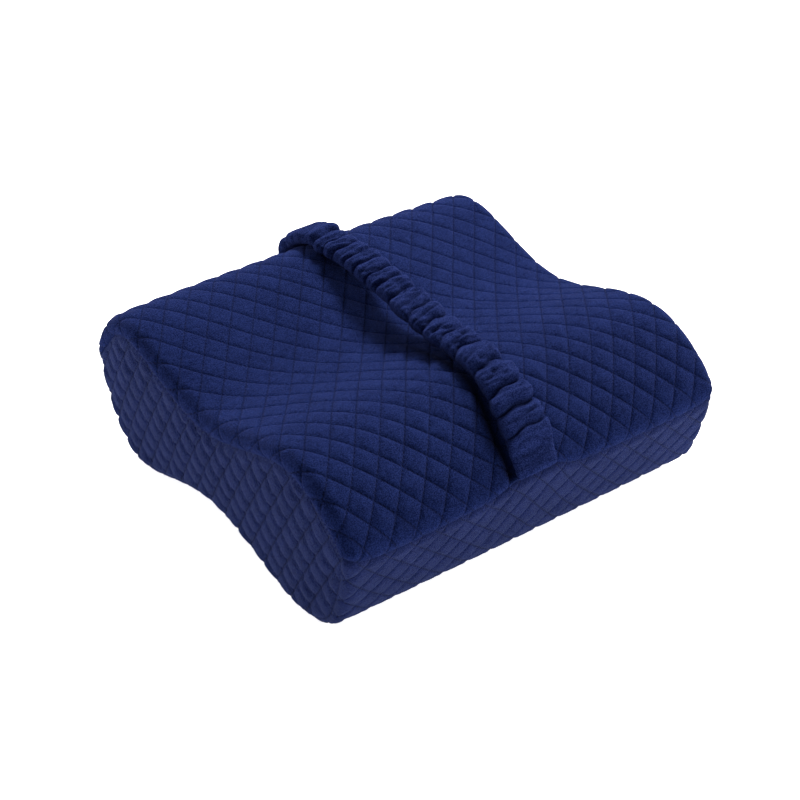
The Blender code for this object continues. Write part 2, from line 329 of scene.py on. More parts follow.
@dataclass(frozen=True)
class Padding:
    """The wadding under the cloth, which swells it between its stitches."""

    pressure: float = 20.0
    frames: int = 20
    slack: float = 0.015
    stretch: float = 8.0
    bend: float = 0.5
    quality: int = 4
    cap: float = 2.5 * MM
    settle_passes: int = 4
    settle_share: float = 0.5
    swell_share: float = 0.6
    full_percent: float = 90.0

    def fill(self, points: np.ndarray, faces: np.ndarray, outward: np.ndarray, relief: Relief) -> np.ndarray:
        """Swell the stitched cloth and mix the result with the drafted puffs.

        Args:
            points: The cloth at its stitched level.
            faces: Its triangles.
            outward: The outward direction at each point.
            relief: The drafted relief at each point.

        Returns:
            The height of the filled puffs at each point.
        """
        swollen = self.settle(self.swell(points, faces, outward, relief.held), faces, relief.held)
        swollen_full = np.percentile(swollen, self.full_percent)
        LOG.info("padding swells the cloth by %.2f mm at most", swollen.max() / MM)
        drafted_full = relief.full * np.percentile(relief.puffs / relief.full, self.full_percent)
        drafted = (1.0 - self.swell_share) * relief.puffs
        return self.swell_share * swollen / swollen_full * drafted_full + drafted

    def settle(self, heights: np.ndarray, faces: np.ndarray, held: np.ndarray) -> np.ndarray:
        """Let the wadding even out the small wrinkles between the stitches.

        Args:
            heights: The height of each point.
            faces: The cloth's triangles.
            held: Where the cloth is held.

        Returns:
            The evened heights.
        """
        count = len(heights)
        corners = faces.ravel()
        beside = np.roll(faces, 1, axis=1).ravel()
        shares = np.bincount(corners, minlength=count) + np.bincount(beside, minlength=count)
        for _ in range(self.settle_passes):
            total = np.bincount(corners, weights=heights[beside], minlength=count)
            total += np.bincount(beside, weights=heights[corners], minlength=count)
            evened = (1.0 - self.settle_share) * heights + self.settle_share * total / shares
            heights = np.where(held, heights, evened)
        return heights

    def swell(
        self, points: np.ndarray, faces: np.ndarray, outward: np.ndarray, held: np.ndarray
    ) -> np.ndarray:
        """Blow up the held cloth from inside.

        Args:
            points: The cloth at its stitched level.
            faces: Its triangles.
            outward: The outward direction at each point.
            held: Where the cloth is held.

        Returns:
            How far each point moves out.
        """
        mesh = bpy.data.meshes.new("cloth_blank")
        mesh.from_pydata(points.tolist(), [], faces.tolist())
        blank = set_out("cloth_blank", mesh)
        scene = bpy.context.scene
        group = blank.vertex_groups.new(name="stitched")
        group.add(np.flatnonzero(held).tolist(), 1.0, "REPLACE")
        cloth = blank.modifiers.new("padding", "CLOTH")
        settings = cloth.settings
        settings.vertex_group_mass = group.name
        settings.quality = self.quality
        settings.use_pressure = True
        settings.uniform_pressure_force = self.pressure
        settings.shrink_min = -self.slack
        settings.tension_stiffness = self.stretch
        settings.compression_stiffness = self.stretch
        settings.shear_stiffness = self.stretch
        settings.bending_stiffness = self.bend
        settings.effector_weights.gravity = 0.0
        cloth.collision_settings.use_collision = False
        cloth.point_cache.frame_start = 1
        cloth.point_cache.frame_end = self.frames
        for step in range(1, self.frames + 1):
            scene.frame_set(step)
        blown = blank.evaluated_get(bpy.context.evaluated_depsgraph_get()).data
        places = np.empty(len(points) * 3, dtype=np.float32)
        blown.vertices.foreach_get("co", places)
        moved = places.reshape(-1, 3).astype(float) - points
        scene.frame_set(1)
        bpy.data.objects.remove(blank)
        bpy.data.meshes.remove(mesh)
        return np.clip((moved * outward).sum(axis=1), 0.0, self.cap)


@dataclass(frozen=True)
class StrapCourse:
    """Where the strap runs across the pillow, how wide it is, the groove beside it, and the shadow painted
    beside it.
    """

    width: float = 22.5 * MM
    tab_width: float = 27.5 * MM
    narrowing_reach: float = 20 * MM
    wide_place: float = 28 * MM
    wide_extra: float = 7.0 * MM
    wide_reach: float = 22 * MM
    side: float = 4.0 * MM
    front_slip: float = -12.5 * MM
    slip_reach: float = 150 * MM
    back_slip: float = 9.5 * MM
    back_slip_start: float = 187 * MM
    back_slip_stop: float = 82 * MM
    groove_depth: float = 3.2 * MM
    groove_reach: float = 2.3 * MM
    groove_start: float = 5 * MM
    groove_fade: tuple[float, float] = (45 * MM, 75 * MM)
    # Painted shadow on the cover beside the strap's left edge: how far across it reaches and where it fades
    # out.
    painted_shadow_reach: float = 2.9 * MM
    painted_shadow_fade: tuple[float, float] = (90 * MM, 170 * MM)

    def half_width(self, place: np.ndarray, from_end: np.ndarray) -> np.ndarray:
        """Return half the strap's width.

        Args:
            place: Distances from the front seam.
            from_end: Distances from the nearer seam.

        Returns:
            The half width at each place.
        """
        spread = np.maximum(0.0, 1.0 - from_end / self.narrowing_reach) ** 2
        wide = self.wide_extra * bell(place - self.wide_place, self.wide_reach)
        return (self.width + (self.tab_width - self.width) * spread + wide * (1.0 - spread)) / 2.0

    def front_middle(self, place: np.ndarray) -> np.ndarray:
        """Return X of the middle line of the strap's front half."""
        return self.side + self.front_slip * np.maximum(0.0, 1.0 - place / self.slip_reach) ** 2

    def middle(self, place: np.ndarray, whole: float) -> np.ndarray:
        """Return X of the strap's middle line at distances from the front seam."""
        drift = smooth_step(whole - self.back_slip_start, whole - self.back_slip_stop, place)
        return self.front_middle(place) + self.back_slip * drift

    def beside_edge(
        self, place: np.ndarray, x: np.ndarray, most: float, reach: float, fade: tuple[float, float]
    ) -> np.ndarray:
        """Measure how close the cover is to the strap's left edge near the front.

        Args:
            place: Distances from the front seam.
            x: The place along the pillow of each.
            most: The value at the edge.
            reach: How far across the edge is felt.
            fade: The distances from the front seam over which it fades out.

        Returns:
            Values from 0 to the most.
        """
        edge = self.front_middle(place) - self.half_width(place, place)
        start = smooth_step(0.0, self.groove_start, place)
        return most * bell(x - edge, reach) * start * (1.0 - smooth_step(*fade, place))

    def groove(self, place: np.ndarray, x: np.ndarray) -> np.ndarray:
        """Return how deep the cover is drawn in along the strap's left edge."""
        return self.beside_edge(place, x, self.groove_depth, self.groove_reach, self.groove_fade)

    def painted_strap_shadow(self, place: np.ndarray, x: np.ndarray) -> np.ndarray:
        """Return the shadow painted on the cover beside the strap's left edge near the front, from 0 to 1."""
        return self.beside_edge(place, x, 1.0, self.painted_shadow_reach, self.painted_shadow_fade)


@dataclass
class Rows:
    """Rows of the wrap, counted down from the front seam and round to it again."""

    distance: np.ndarray
    quilt: np.ndarray
    next_quilt: np.ndarray
    seam_gap: np.ndarray


@dataclass
class Columns:
    """Columns of the wrap from the left end seam to the right one, for each row."""

    quilt: np.ndarray
    x: np.ndarray
    drawn: np.ndarray
    seam_gap: np.ndarray


@dataclass
class QuiltedCover:
    """The fitted cover: a wrap of two cloths, and an end panel at each side."""

    outline: SideOutline
    course: StrapCourse
    top_quilting: Quilting = Quilting()
    under_quilting: Quilting = Quilting(sink=1.15 * MM, thread_dip=0.45 * MM)
    end_quilting: Quilting = Quilting(
        sink=2.3 * MM, shoulder=2.2 * MM, thread_dip=0.8 * MM, calm_reach=3.5 * MM
    )
    padding: Padding = Padding()
    cells: int = 6
    hidden_cells: int = 3
    shown_under: float = 78 * MM
    column_pitch: float = 7.84 * MM
    column_first: float = 3.14 * MM
    over_pitch: float = 10.15 * MM
    over_first: float = 6.09 * MM
    under_pitch: float = 7.60 * MM
    under_first: float = 4.00 * MM
    line_clearance: float = 0.2
    seam_stops: tuple[float, ...] = (0.45 * MM, 1.0 * MM)
    stop_clearance: float = 1.4
    edge_radius: float = 5.5 * MM
    edge_reach: float = 12.1 * MM
    end_bulge: float = 1.9 * MM
    bulge_reach: float = 28 * MM
    end_rim: float = 3.2 * MM
    end_origin: tuple[float, float] = (-65.5 * MM, 45.3 * MM)
    end_steep: tuple[float, float] = (5.71 * MM, -9.18 * MM)
    end_shallow: tuple[float, float] = (9.09 * MM, 8.58 * MM)
    end_cells: int = 7
    end_span: float = 300 * MM
    end_margin: float = 1.5 * MM
    weld_gap: float = 1.0e-7
    least_gap: float = 0.25 * MM
    seam_rise: float = 7.0 * MM
    seam_rise_middle: float = -4.0 * MM
    seam_rise_left: float = 26 * MM
    seam_rise_right: float = 21 * MM
    corner_rise: float = 5.0 * MM
    rise_power: int = 4
    corner_reach: float = 122 * MM
    corner_power: int = 10
    pull_reach: float = 28 * MM
    back_rise_share: float = 0.5
    press: float = 1.2 * MM
    press_reach: float = 2.0 * MM

    @property
    def flat_half(self) -> float:
        """Half the length over which the wrap runs straight."""
        return self.outline.half_length - self.end_bulge - self.edge_radius

    def stops(self, start: float, stop: float, first: float, pitch: float, cells: int) -> np.ndarray:
        """Return places with every quilting line on one of them.

        Args:
            start: The first place.
            stop: The last place.
            first: The place of any one quilting line.
            pitch: The distance between quilting lines.
            cells: The number of steps from line to line.

        Returns:
            The places in order.
        """
        lowest, highest = math.ceil((start - first) / pitch), math.floor((stop - first) / pitch)
        lines = first + pitch * np.arange(lowest, highest + 1)
        clear = self.line_clearance * pitch
        inner = lines[(lines > start + clear) & (lines < stop - clear)]
        marks = np.concatenate([[start], inner, [stop]])
        runs = []
        for low, high in zip(marks[:-1], marks[1:]):
            count = max(1, round((high - low) / pitch * cells))
            runs.append(np.linspace(low, high, count, endpoint=False))
        return np.concatenate([*runs, [stop]])

    def with_seam_stops(self, places: np.ndarray) -> np.ndarray:
        """Add close places beside the first and the last one, where seams lie.

        Args:
            places: The places in order.

        Returns:
            The places with the added ones.
        """
        extra = np.array(self.seam_stops)
        inner = places[1:-1]
        low, high = places[0], places[-1]
        taken = self.stop_clearance * extra[-1]
        clear = (inner > low + taken) & (inner < high - taken)
        return np.concatenate([[low], low + extra, inner[clear], (high - extra)[::-1], [high]])

    def rows(self) -> Rows:
        """Lay out the rows of both cloths of the wrap.

        Returns:
            The rows, down from the front seam and round.
        """
        back = self.outline.back_seam
        shown = self.stops(0.0, self.shown_under, self.under_first, self.under_pitch, self.cells)
        hidden = self.stops(self.shown_under, back, self.under_first, self.under_pitch, self.hidden_cells)
        under = self.with_seam_stops(np.concatenate([shown[:-1], hidden]))
        from_front = self.with_seam_stops(
            self.stops(0.0, self.outline.round - back, self.over_first, self.over_pitch, self.cells)
        )
        under_quilt = 1.0 + (under - self.under_first) / self.under_pitch
        over_quilt = 1.0 + (from_front[::-1] - self.over_first) / self.over_pitch
        over = self.outline.round - from_front[::-1]
        distance = np.concatenate([under[:-1], over[:-1]])
        gap = np.minimum(distance, np.abs(distance - back))
        return Rows(
            distance=distance,
            quilt=np.concatenate([under_quilt[:-1], over_quilt[:-1]]),
            next_quilt=np.concatenate([under_quilt[1:], over_quilt[1:]]),
            seam_gap=np.minimum(gap, self.outline.round - distance),
        )

    def columns(self, rows: Rows) -> Columns:
        """Lay out the columns of the wrap, round both edges to the end seams.

        Args:
            rows: The rows of the wrap.

        Returns:
            The columns, for each row.
        """
        half = self.flat_half + self.edge_reach
        plain = self.stops(-half, half, self.column_first, self.column_pitch, self.cells)
        across = self.with_seam_stops(plain)
        table = np.array([row[1:] for row in EDGE_RUN]) * MM
        whole = np.interp(rows.distance * table[-1, 0] / self.outline.round, table[:, 0], table[:, 1])
        share = np.maximum(0.0, np.abs(across) - self.flat_half) / self.edge_reach
        past = whole[:, None] * share[None, :]
        turn = np.minimum(past / self.edge_radius, math.pi / 2.0)
        straight = np.minimum(np.abs(across), self.flat_half)[None, :]
        side = np.sign(across)[None, :]
        return Columns(
            quilt=(side * (straight + past) - self.column_first) / self.column_pitch,
            x=side * (straight + self.edge_radius * np.sin(turn)),
            drawn=self.edge_radius * (1.0 - np.cos(turn)) + past - self.edge_radius * turn,
            seam_gap=(self.flat_half - straight) + whole[:, None] - past,
        )

    def pull(self, distance: np.ndarray, x: np.ndarray) -> np.ndarray:
        """Return how far the cloth is drawn along the outline by the strap and the corners.

        Args:
            distance: Distances along the outline from the front seam.
            x: The place along the pillow of each.

        Returns:
            The shift of each distance, negative where the front seam rises.
        """
        beside = x - self.seam_rise_middle
        reach = np.where(beside < 0.0, self.seam_rise_left, self.seam_rise_right)
        rise = self.seam_rise / (1.0 + (beside / reach) ** self.rise_power)
        corner = self.corner_rise * (np.abs(x) / self.corner_reach) ** self.corner_power
        whole = self.outline.round
        from_front = np.minimum(distance, whole - distance)
        from_back = np.abs(distance - self.outline.back_seam)
        front = -(rise + corner) * bell(from_front, self.pull_reach)
        back = self.back_rise_share * rise * bell(from_back, self.pull_reach)
        return front + back

    def wrap_form(self, rows: Rows, columns: Columns) -> np.ndarray:
        """Form the wrap without its quilting.

        Args:
            rows: The rows of the wrap.
            columns: The columns of the wrap.

        Returns:
            Its points, as rows by columns.
        """
        form = np.empty((*columns.x.shape, 3))
        form[..., 0] = columns.x
        for index in range(columns.x.shape[1]):
            x = columns.x[:, index]
            distance = rows.distance + self.pull(rows.distance, x)
            form[:, index, 1:] = self.outline.place(distance, x, columns.drawn[:, index])
        return form

    def wrap_normals(self, form: np.ndarray) -> np.ndarray:
        """Find which way is outward on the wrap.

        Args:
            form: The wrap's points, as rows by columns.

        Returns:
            The outward direction at each point.
        """
        along = np.roll(form, -1, axis=0) - np.roll(form, 1, axis=0)
        across = np.gradient(form, axis=1)
        return unit(np.cross(along, across))

    def wrap_relief(self, rows: Rows, columns: Columns) -> Relief:
        """Draft the relief over the wrap.

        Args:
            rows: The rows of the wrap.
            columns: The columns of the wrap.

        Returns:
            The relief, as rows by columns.
        """
        gap = np.minimum(rows.seam_gap[:, None], columns.seam_gap)
        under = (rows.distance < self.outline.back_seam)[:, None]
        first = (columns.quilt + rows.quilt[:, None]) / 2.0
        second = (columns.quilt - rows.quilt[:, None]) / 2.0
        upper = self.top_quilting.relief(first, second, self.spacing(self.over_pitch), gap)
        lower = self.under_quilting.relief(first, second, self.spacing(self.under_pitch), gap)
        from_front = self.outline.round - rows.distance
        groove = self.course.groove(from_front[:, None], columns.x)
        return Relief(
            level=np.where(under, lower.level, upper.level - groove),
            puffs=np.where(under, lower.puffs, upper.puffs),
            full=np.where(under, lower.full, upper.full),
            held=np.where(under, lower.held, upper.held),
        )

    def spacing(self, pitch: float) -> tuple[float, float]:
        """Measure how far apart the wrap's stitch lines are.

        Args:
            pitch: The pitch of the rows.

        Returns:
            The distance between neighbouring lines of each family.
        """
        side = math.hypot(self.column_pitch, pitch)
        apart = 2.0 * self.column_pitch * pitch / side
        return apart, apart

    def pressed(self, points: np.ndarray) -> np.ndarray:
        """Press the lowest points flat onto the floor.

        Args:
            points: The points of the cover, which are changed.

        Returns:
            The same points.
        """
        height = points[..., 2]
        sunk = self.press * np.exp(-np.maximum(height, 0.0) / self.press_reach)
        points[..., 2] = np.maximum(0.0, height - sunk)
        return points

    def ring_gap(self, places: np.ndarray, ring: np.ndarray) -> tuple[np.ndarray, np.ndarray]:
        """Measure places against a closed ring.

        Args:
            places: The places.
            ring: The points of the ring in order.

        Returns:
            How far each place is inside the ring, negative outside it, and
            the number of the nearest part of the ring.
        """
        along = np.roll(ring, -1, axis=0) - ring
        away = places[:, None, :] - ring[None, :, :]
        share = np.clip((away * along).sum(axis=2) / (along**2).sum(axis=1), 0.0, 1.0)
        apart = np.linalg.norm(away - along * share[:, :, None], axis=2)
        nearest = apart.argmin(axis=1)
        gap = np.take_along_axis(apart, nearest[:, None], axis=1)[:, 0]
        start_above = ring[None, :, 1] > places[:, 1:2]
        end_above = (ring + along)[None, :, 1] > places[:, 1:2]
        rise = np.where(along[:, 1] == 0.0, 1.0, along[:, 1])
        meets = ring[None, :, 0] + along[None, :, 0] * (places[:, 1:2] - ring[None, :, 1]) / rise
        crossings = ((start_above != end_above) & (meets > places[:, :1])).sum(axis=1)
        return np.where(crossings % 2 == 1, gap, -gap), nearest

    def end_points(self, ring: np.ndarray) -> tuple[np.ndarray, np.ndarray, np.ndarray]:
        """Lay out an end panel.

        Args:
            ring: Y and Z of the points of its seam.

        Returns:
            The panel's inner points, their distances from the seam, and the
            number of the nearest part of the seam.
        """
        inward = np.roll(ring, -1, axis=0) - np.roll(ring, 1, axis=0)
        inward = unit(np.column_stack([-inward[:, 1], inward[:, 0]]))
        loops = [ring[::2] + inward[::2] * stop for stop in self.seam_stops]
        steep = np.array(self.end_steep) / self.end_cells
        shallow = np.array(self.end_shallow) / self.end_cells
        span = int(self.end_span / np.linalg.norm(steep))
        one, two = np.meshgrid(np.arange(-span, span + 1), np.arange(-span, span + 1))
        lattice = np.array(self.end_origin) + one.reshape(-1, 1) * steep + two.reshape(-1, 1) * shallow
        low, high = ring.min(axis=0), ring.max(axis=0)
        lattice = lattice[np.all((lattice > low) & (lattice < high), axis=1)]
        lattice = lattice[self.ring_gap(lattice, ring)[0] > self.end_margin]
        places = np.concatenate([*loops, lattice])
        gap, nearest = self.ring_gap(places, ring)
        kept = gap > self.least_gap
        return places[kept], gap[kept], nearest[kept]

    def end_quilt(self, places: np.ndarray) -> np.ndarray:
        """Return the two quilting coordinates of places on an end panel."""
        basis = np.column_stack([self.end_steep, self.end_shallow])
        return (places - np.array(self.end_origin)) @ np.linalg.inv(basis).T

    def end_spacing(self) -> tuple[float, float]:
        """Measure how far apart an end panel's stitch lines are.

        Returns:
            The distance between neighbouring lines of each family.
        """
        steep, shallow = np.array(self.end_steep), np.array(self.end_shallow)
        area = abs(steep[0] * shallow[1] - steep[1] * shallow[0])
        return float(area / np.linalg.norm(shallow)), float(area / np.linalg.norm(steep))

    def end_panel(self, ring: np.ndarray, side: Side) -> tuple[np.ndarray, Relief, list, np.ndarray]:
        """Make one end panel inside its seam.

        Args:
            ring: The points of the end seam.
            side: The end of the pillow.

        Returns:
            The new points at their stitched level, their relief, triangles
            that count the ring's points first, and the quilting coordinates
            of the ring and the new points.
        """
        flat_ring = ring[:, 1:]
        places, gap, nearest = self.end_points(flat_ring)
        count = len(flat_ring)
        outline = [(index, (index + 1) % count) for index in range(count)]
        flat = [Vector(place) for place in np.concatenate([flat_ring, places])]
        _, _, faces, _, _, _ = delaunay_2d_cdt(flat, outline, [], TRIANGLES_INSIDE, self.weld_gap)
        swell = self.end_bulge * rounded_in(gap, self.bulge_reach)
        quilt = self.end_quilt(places)
        relief = self.end_quilting.relief(quilt[:, 0], quilt[:, 1], self.end_spacing(), gap)
        relief.level += self.end_quilting.seam_depth
        border = np.abs(ring[nearest, 0])
        rise = (np.abs(ring[:, 0]).max() - border) * rounded_in(gap, self.end_rim)
        points = np.empty((len(places), 3))
        points[:, 0] = side.value * (border + rise + swell + relief.level)
        points[:, 1:] = places
        return points, relief, faces, np.concatenate([self.end_quilt(flat_ring), quilt])

    def build(self) -> bpy.types.Object:
        """Sew the wrap and both end panels into one closed cover.

        Returns:
            The cover, without a finish.
        """
        rows = self.rows()
        columns = self.columns(rows)
        form = self.wrap_form(rows, columns)
        outward = self.wrap_normals(form)
        relief = self.wrap_relief(rows, columns)
        wrap = form + outward * (self.outline.stand_out + relief.level)[..., None]
        row_count, column_count = wrap.shape[:2]
        number = np.arange(row_count * column_count).reshape(row_count, column_count)
        faces, coordinates = self.wrap_faces(rows, columns, number)
        lower = rows.distance < self.outline.back_seam
        # The over cloth gets the plain copy; the under cloth and the ends get the copy painted lighter and
        # greyer, standing in for the extra light on the sides.
        row_copies = np.where(lower, ClothCopy.SIDES_PAINTED_LIGHTER.value, ClothCopy.PLAIN_TOP.value)
        copies = [np.repeat(row_copies, 2 * (column_count - 1))]
        points, normals = [wrap.reshape(-1, 3)], [outward.reshape(-1, 3)]
        reliefs = [relief]
        total = row_count * column_count
        for side, column in ((Side.LEFT, 0), (Side.RIGHT, -1)):
            ring = wrap[:, column]
            ring_number = number[:, column]
            new, new_relief, panel, quilt = self.end_panel(ring, side)
            numbers = np.concatenate([ring_number, total + np.arange(len(new))])
            flat = np.concatenate([ring[:, 1:], new[:, 1:]])
            corners = self.faced(np.array([face[:] for face in panel]), flat, side)
            faces.append(numbers[corners])
            copies.append(np.full(len(corners), ClothCopy.SIDES_PAINTED_LIGHTER.value))
            coordinates.append(quilt[corners].reshape(-1, 2))
            points.append(new)
            normals.append(np.tile([side.value, 0.0, 0.0], (len(new), 1)))
            reliefs.append(new_relief)
            total += len(new)
        every, directions = np.concatenate(points), np.concatenate(normals)
        triangles = np.concatenate(faces)
        whole = Relief.joined(reliefs)
        puffs = self.padding.fill(every, triangles, directions, whole)
        every = self.pressed(every + directions * puffs[:, None])
        cover = Sewing.mesh("quilted_cover", every, triangles, np.concatenate(coordinates))
        cover.data.polygons.foreach_set("material_index", np.concatenate(copies).astype(np.int32))
        # Painted shadow: the top is darkened beside the strap's left edge near the front, through the point
        # attribute.
        painted_strap_shadow = np.zeros(len(every))
        from_front = self.outline.round - rows.distance[:, None]
        over = np.where(lower[:, None], 0.0, self.course.painted_strap_shadow(from_front, columns.x))
        painted_strap_shadow[: over.size] = over.ravel()
        Sewing.mark(cover, "painted_shade", painted_strap_shadow)
        return cover

    def faced(self, corners: np.ndarray, flat: np.ndarray, side: Side) -> np.ndarray:
        """Turn an end panel's triangles so that they face out of the pillow.

        Args:
            corners: The point numbers of each triangle.
            flat: Y and Z of the points.
            side: The end of the pillow.

        Returns:
            The point numbers in their new order.
        """
        start, one, two = (flat[corners[:, place]] for place in range(3))
        one, two = one - start, two - start
        turn = one[:, 0] * two[:, 1] - one[:, 1] * two[:, 0]
        backwards = turn * side.value < 0.0
        corners[backwards] = corners[backwards][:, ::-1]
        return corners

    def wrap_faces(self, rows: Rows, columns: Columns, number: np.ndarray) -> tuple[list, list]:
        """Return the wrap's triangles, cut along the stitch lines.

        Args:
            rows: The rows of the wrap.
            columns: The columns of the wrap.
            number: The number of each point, as rows by columns.

        Returns:
            A list with the triangles, and a list with their quilting
            coordinates.
        """
        below = np.roll(number, -1, axis=0)
        corner = np.stack([number[:, :-1], number[:, 1:], below[:, 1:], below[:, :-1]], axis=-1)
        quilt = np.empty((*corner.shape, 2))
        here, under = columns.quilt, np.roll(columns.quilt, -1, axis=0)
        across = np.stack([here[:, :-1], here[:, 1:], under[:, 1:], under[:, :-1]], axis=-1)
        down = np.stack([rows.quilt, rows.quilt, rows.next_quilt, rows.next_quilt], axis=-1)[:, None]
        quilt[..., 0] = (across + down) / 2.0
        quilt[..., 1] = (across - down) / 2.0
        middle = quilt.mean(axis=2)
        gaps = np.abs(middle - np.round(middle))
        falling = gaps[..., 0] < gaps[..., 1]
        growing = (rows.next_quilt > rows.quilt)[:, None]
        cut = falling == growing
        one = np.where(cut[..., None], np.array([0, 1, 3]), np.array([0, 1, 2]))
        two = np.where(cut[..., None], np.array([1, 2, 3]), np.array([0, 2, 3]))
        picks = np.stack([one, two], axis=2)
        faces = np.take_along_axis(corner[:, :, None, :], picks, axis=3)
        marks = np.take_along_axis(quilt[:, :, None, :, :], picks[..., None], axis=3)
        return [faces.reshape(-1, 3)[:, ::-1]], [marks.reshape(-1, 3, 2)[:, ::-1].reshape(-1, 2)]


class Sewing:
    """Makes mesh objects from points and faces."""

    @staticmethod
    def mesh(name: str, points: np.ndarray, faces: np.ndarray, marks: np.ndarray) -> bpy.types.Object:
        """Make a smooth mesh object.

        Args:
            name: The name of the piece.
            points: The points, one a row.
            faces: The faces, one a row of point numbers.
            marks: Flat surface coordinates, one a face corner.

        Returns:
            The object, linked to the scene.
        """
        mesh = bpy.data.meshes.new(name)
        mesh.from_pydata(points.tolist(), [], faces.tolist())
        layer = mesh.uv_layers.new(name="cloth")
        layer.data.foreach_set("uv", marks.astype(np.float32).ravel())
        mesh.shade_smooth()
        mesh.update()
        return set_out(name, mesh)

    @staticmethod
    def mark(piece: bpy.types.Object, name: str, values: np.ndarray) -> None:
        """Store one number for each point of a piece."""
        layer = piece.data.attributes.new(name, "FLOAT", "POINT")
        layer.data.foreach_set("value", values.astype(np.float32))


@dataclass(frozen=True)
class Crease:
    """A crease between two gathers of the strap (mm from the front seam).

    It has a place at each edge of the strap, a depth share, and a bow towards
    the back lobe in its middle.
    """

    left: float
    right: float
    depth: float
    bow: float

    def line(self, across: np.ndarray) -> np.ndarray:
        """Return the crease's distances from the front seam at places across the strap."""
        straight = self.left + (self.right - self.left) * (across + 1.0) / 2.0
        return (straight + self.bow * (1.0 - across**2)) * MM


CREASES = (
    Crease(19.5, 21.0, 0.25, 1.5),
    Crease(25.0, 27.5, 0.75, 0.5),
    Crease(37.0, 38.5, 1.00, 0.6),
    Crease(47.5, 50.5, 1.00, 0.8),
    Crease(63.0, 65.5, 1.05, 1.5),
    Crease(82.0, 80.5, 1.10, 3.0),
    Crease(95.5, 99.5, 0.90, 2.0),
    Crease(112.0, 116.0, 1.10, 0.8),
    Crease(126.5, 131.0, 0.95, 1.8),
    Crease(147.5, 150.5, 1.05, 0.5),
    Crease(162.5, 165.0, 1.00, 0.8),
    Crease(174.0, 175.5, 1.10, 0.4),
    Crease(187.0, 188.0, 0.90, 0.8),
    Crease(197.5, 199.0, 1.05, 0.6),
    Crease(209.0, 211.0, 1.00, 0.5),
    Crease(218.5, 220.5, 0.90, 0.6),
    Crease(227.5, 230.0, 0.75, 0.5),
    Crease(236.5, 239.0, 0.50, 0.4),
    Crease(247.0, 248.5, 0.70, 0.4),
    Crease(258.0, 260.0, 0.80, 0.4),
)


@dataclass(frozen=True)
class Pucker:
    """A short crease inside one gather.

    It has a place (mm from the front seam), its middle and reach across the
    strap (1 at an edge), a depth share, and a slant (mm).
    """

    place: float
    middle: float
    reach: float
    depth: float
    slant: float
    window_power: int = 4

    def dent(self, places: np.ndarray, across: np.ndarray, along: float) -> np.ndarray:
        """Find how deep the pucker is at points of the strap.

        Args:
            places: Distance from the front seam of each point.
            across: Place across the strap of each point.
            along: How far the pucker reaches along the strap.

        Returns:
            Shares of the full depth.
        """
        line = (self.place + self.slant * (across - self.middle)) * MM
        window = np.exp(-(((across - self.middle) / self.reach) ** self.window_power))
        return self.depth * window * bell(places - line, along)


PUCKERS = (
    Pucker(31.5, -0.5, 0.5, 0.30, 1.0),
    Pucker(56.0, -0.8, 0.5, 0.30, 2.0),
    Pucker(72.5, -0.7, 0.6, 0.55, 3.0),
    Pucker(88.5, -0.5, 0.8, 0.60, 3.5),
    Pucker(92.0, 0.5, 0.5, 0.35, 1.0),
    Pucker(104.5, -0.6, 0.6, 0.50, 3.0),
    Pucker(121.0, -0.2, 0.9, 0.70, 3.5),
    Pucker(136.5, -0.1, 0.8, 0.65, 3.0),
    Pucker(142.0, 0.6, 0.5, 0.40, 1.0),
    Pucker(156.0, -0.3, 0.8, 0.55, 2.5),
    Pucker(168.5, -0.6, 0.5, 0.40, 2.0),
    Pucker(181.0, -0.4, 0.6, 0.45, 2.0),
    Pucker(192.5, 0.2, 0.7, 0.35, 1.5),
    Pucker(203.5, -0.4, 0.7, 0.50, 2.0),
    Pucker(214.5, 0.3, 0.6, 0.35, 1.0),
    Pucker(223.0, -0.2, 0.8, 0.45, 2.0),
    Pucker(242.5, 0.0, 0.8, 0.45, 1.5),
    Pucker(253.0, 0.0, 0.8, 0.40, 1.5),
)


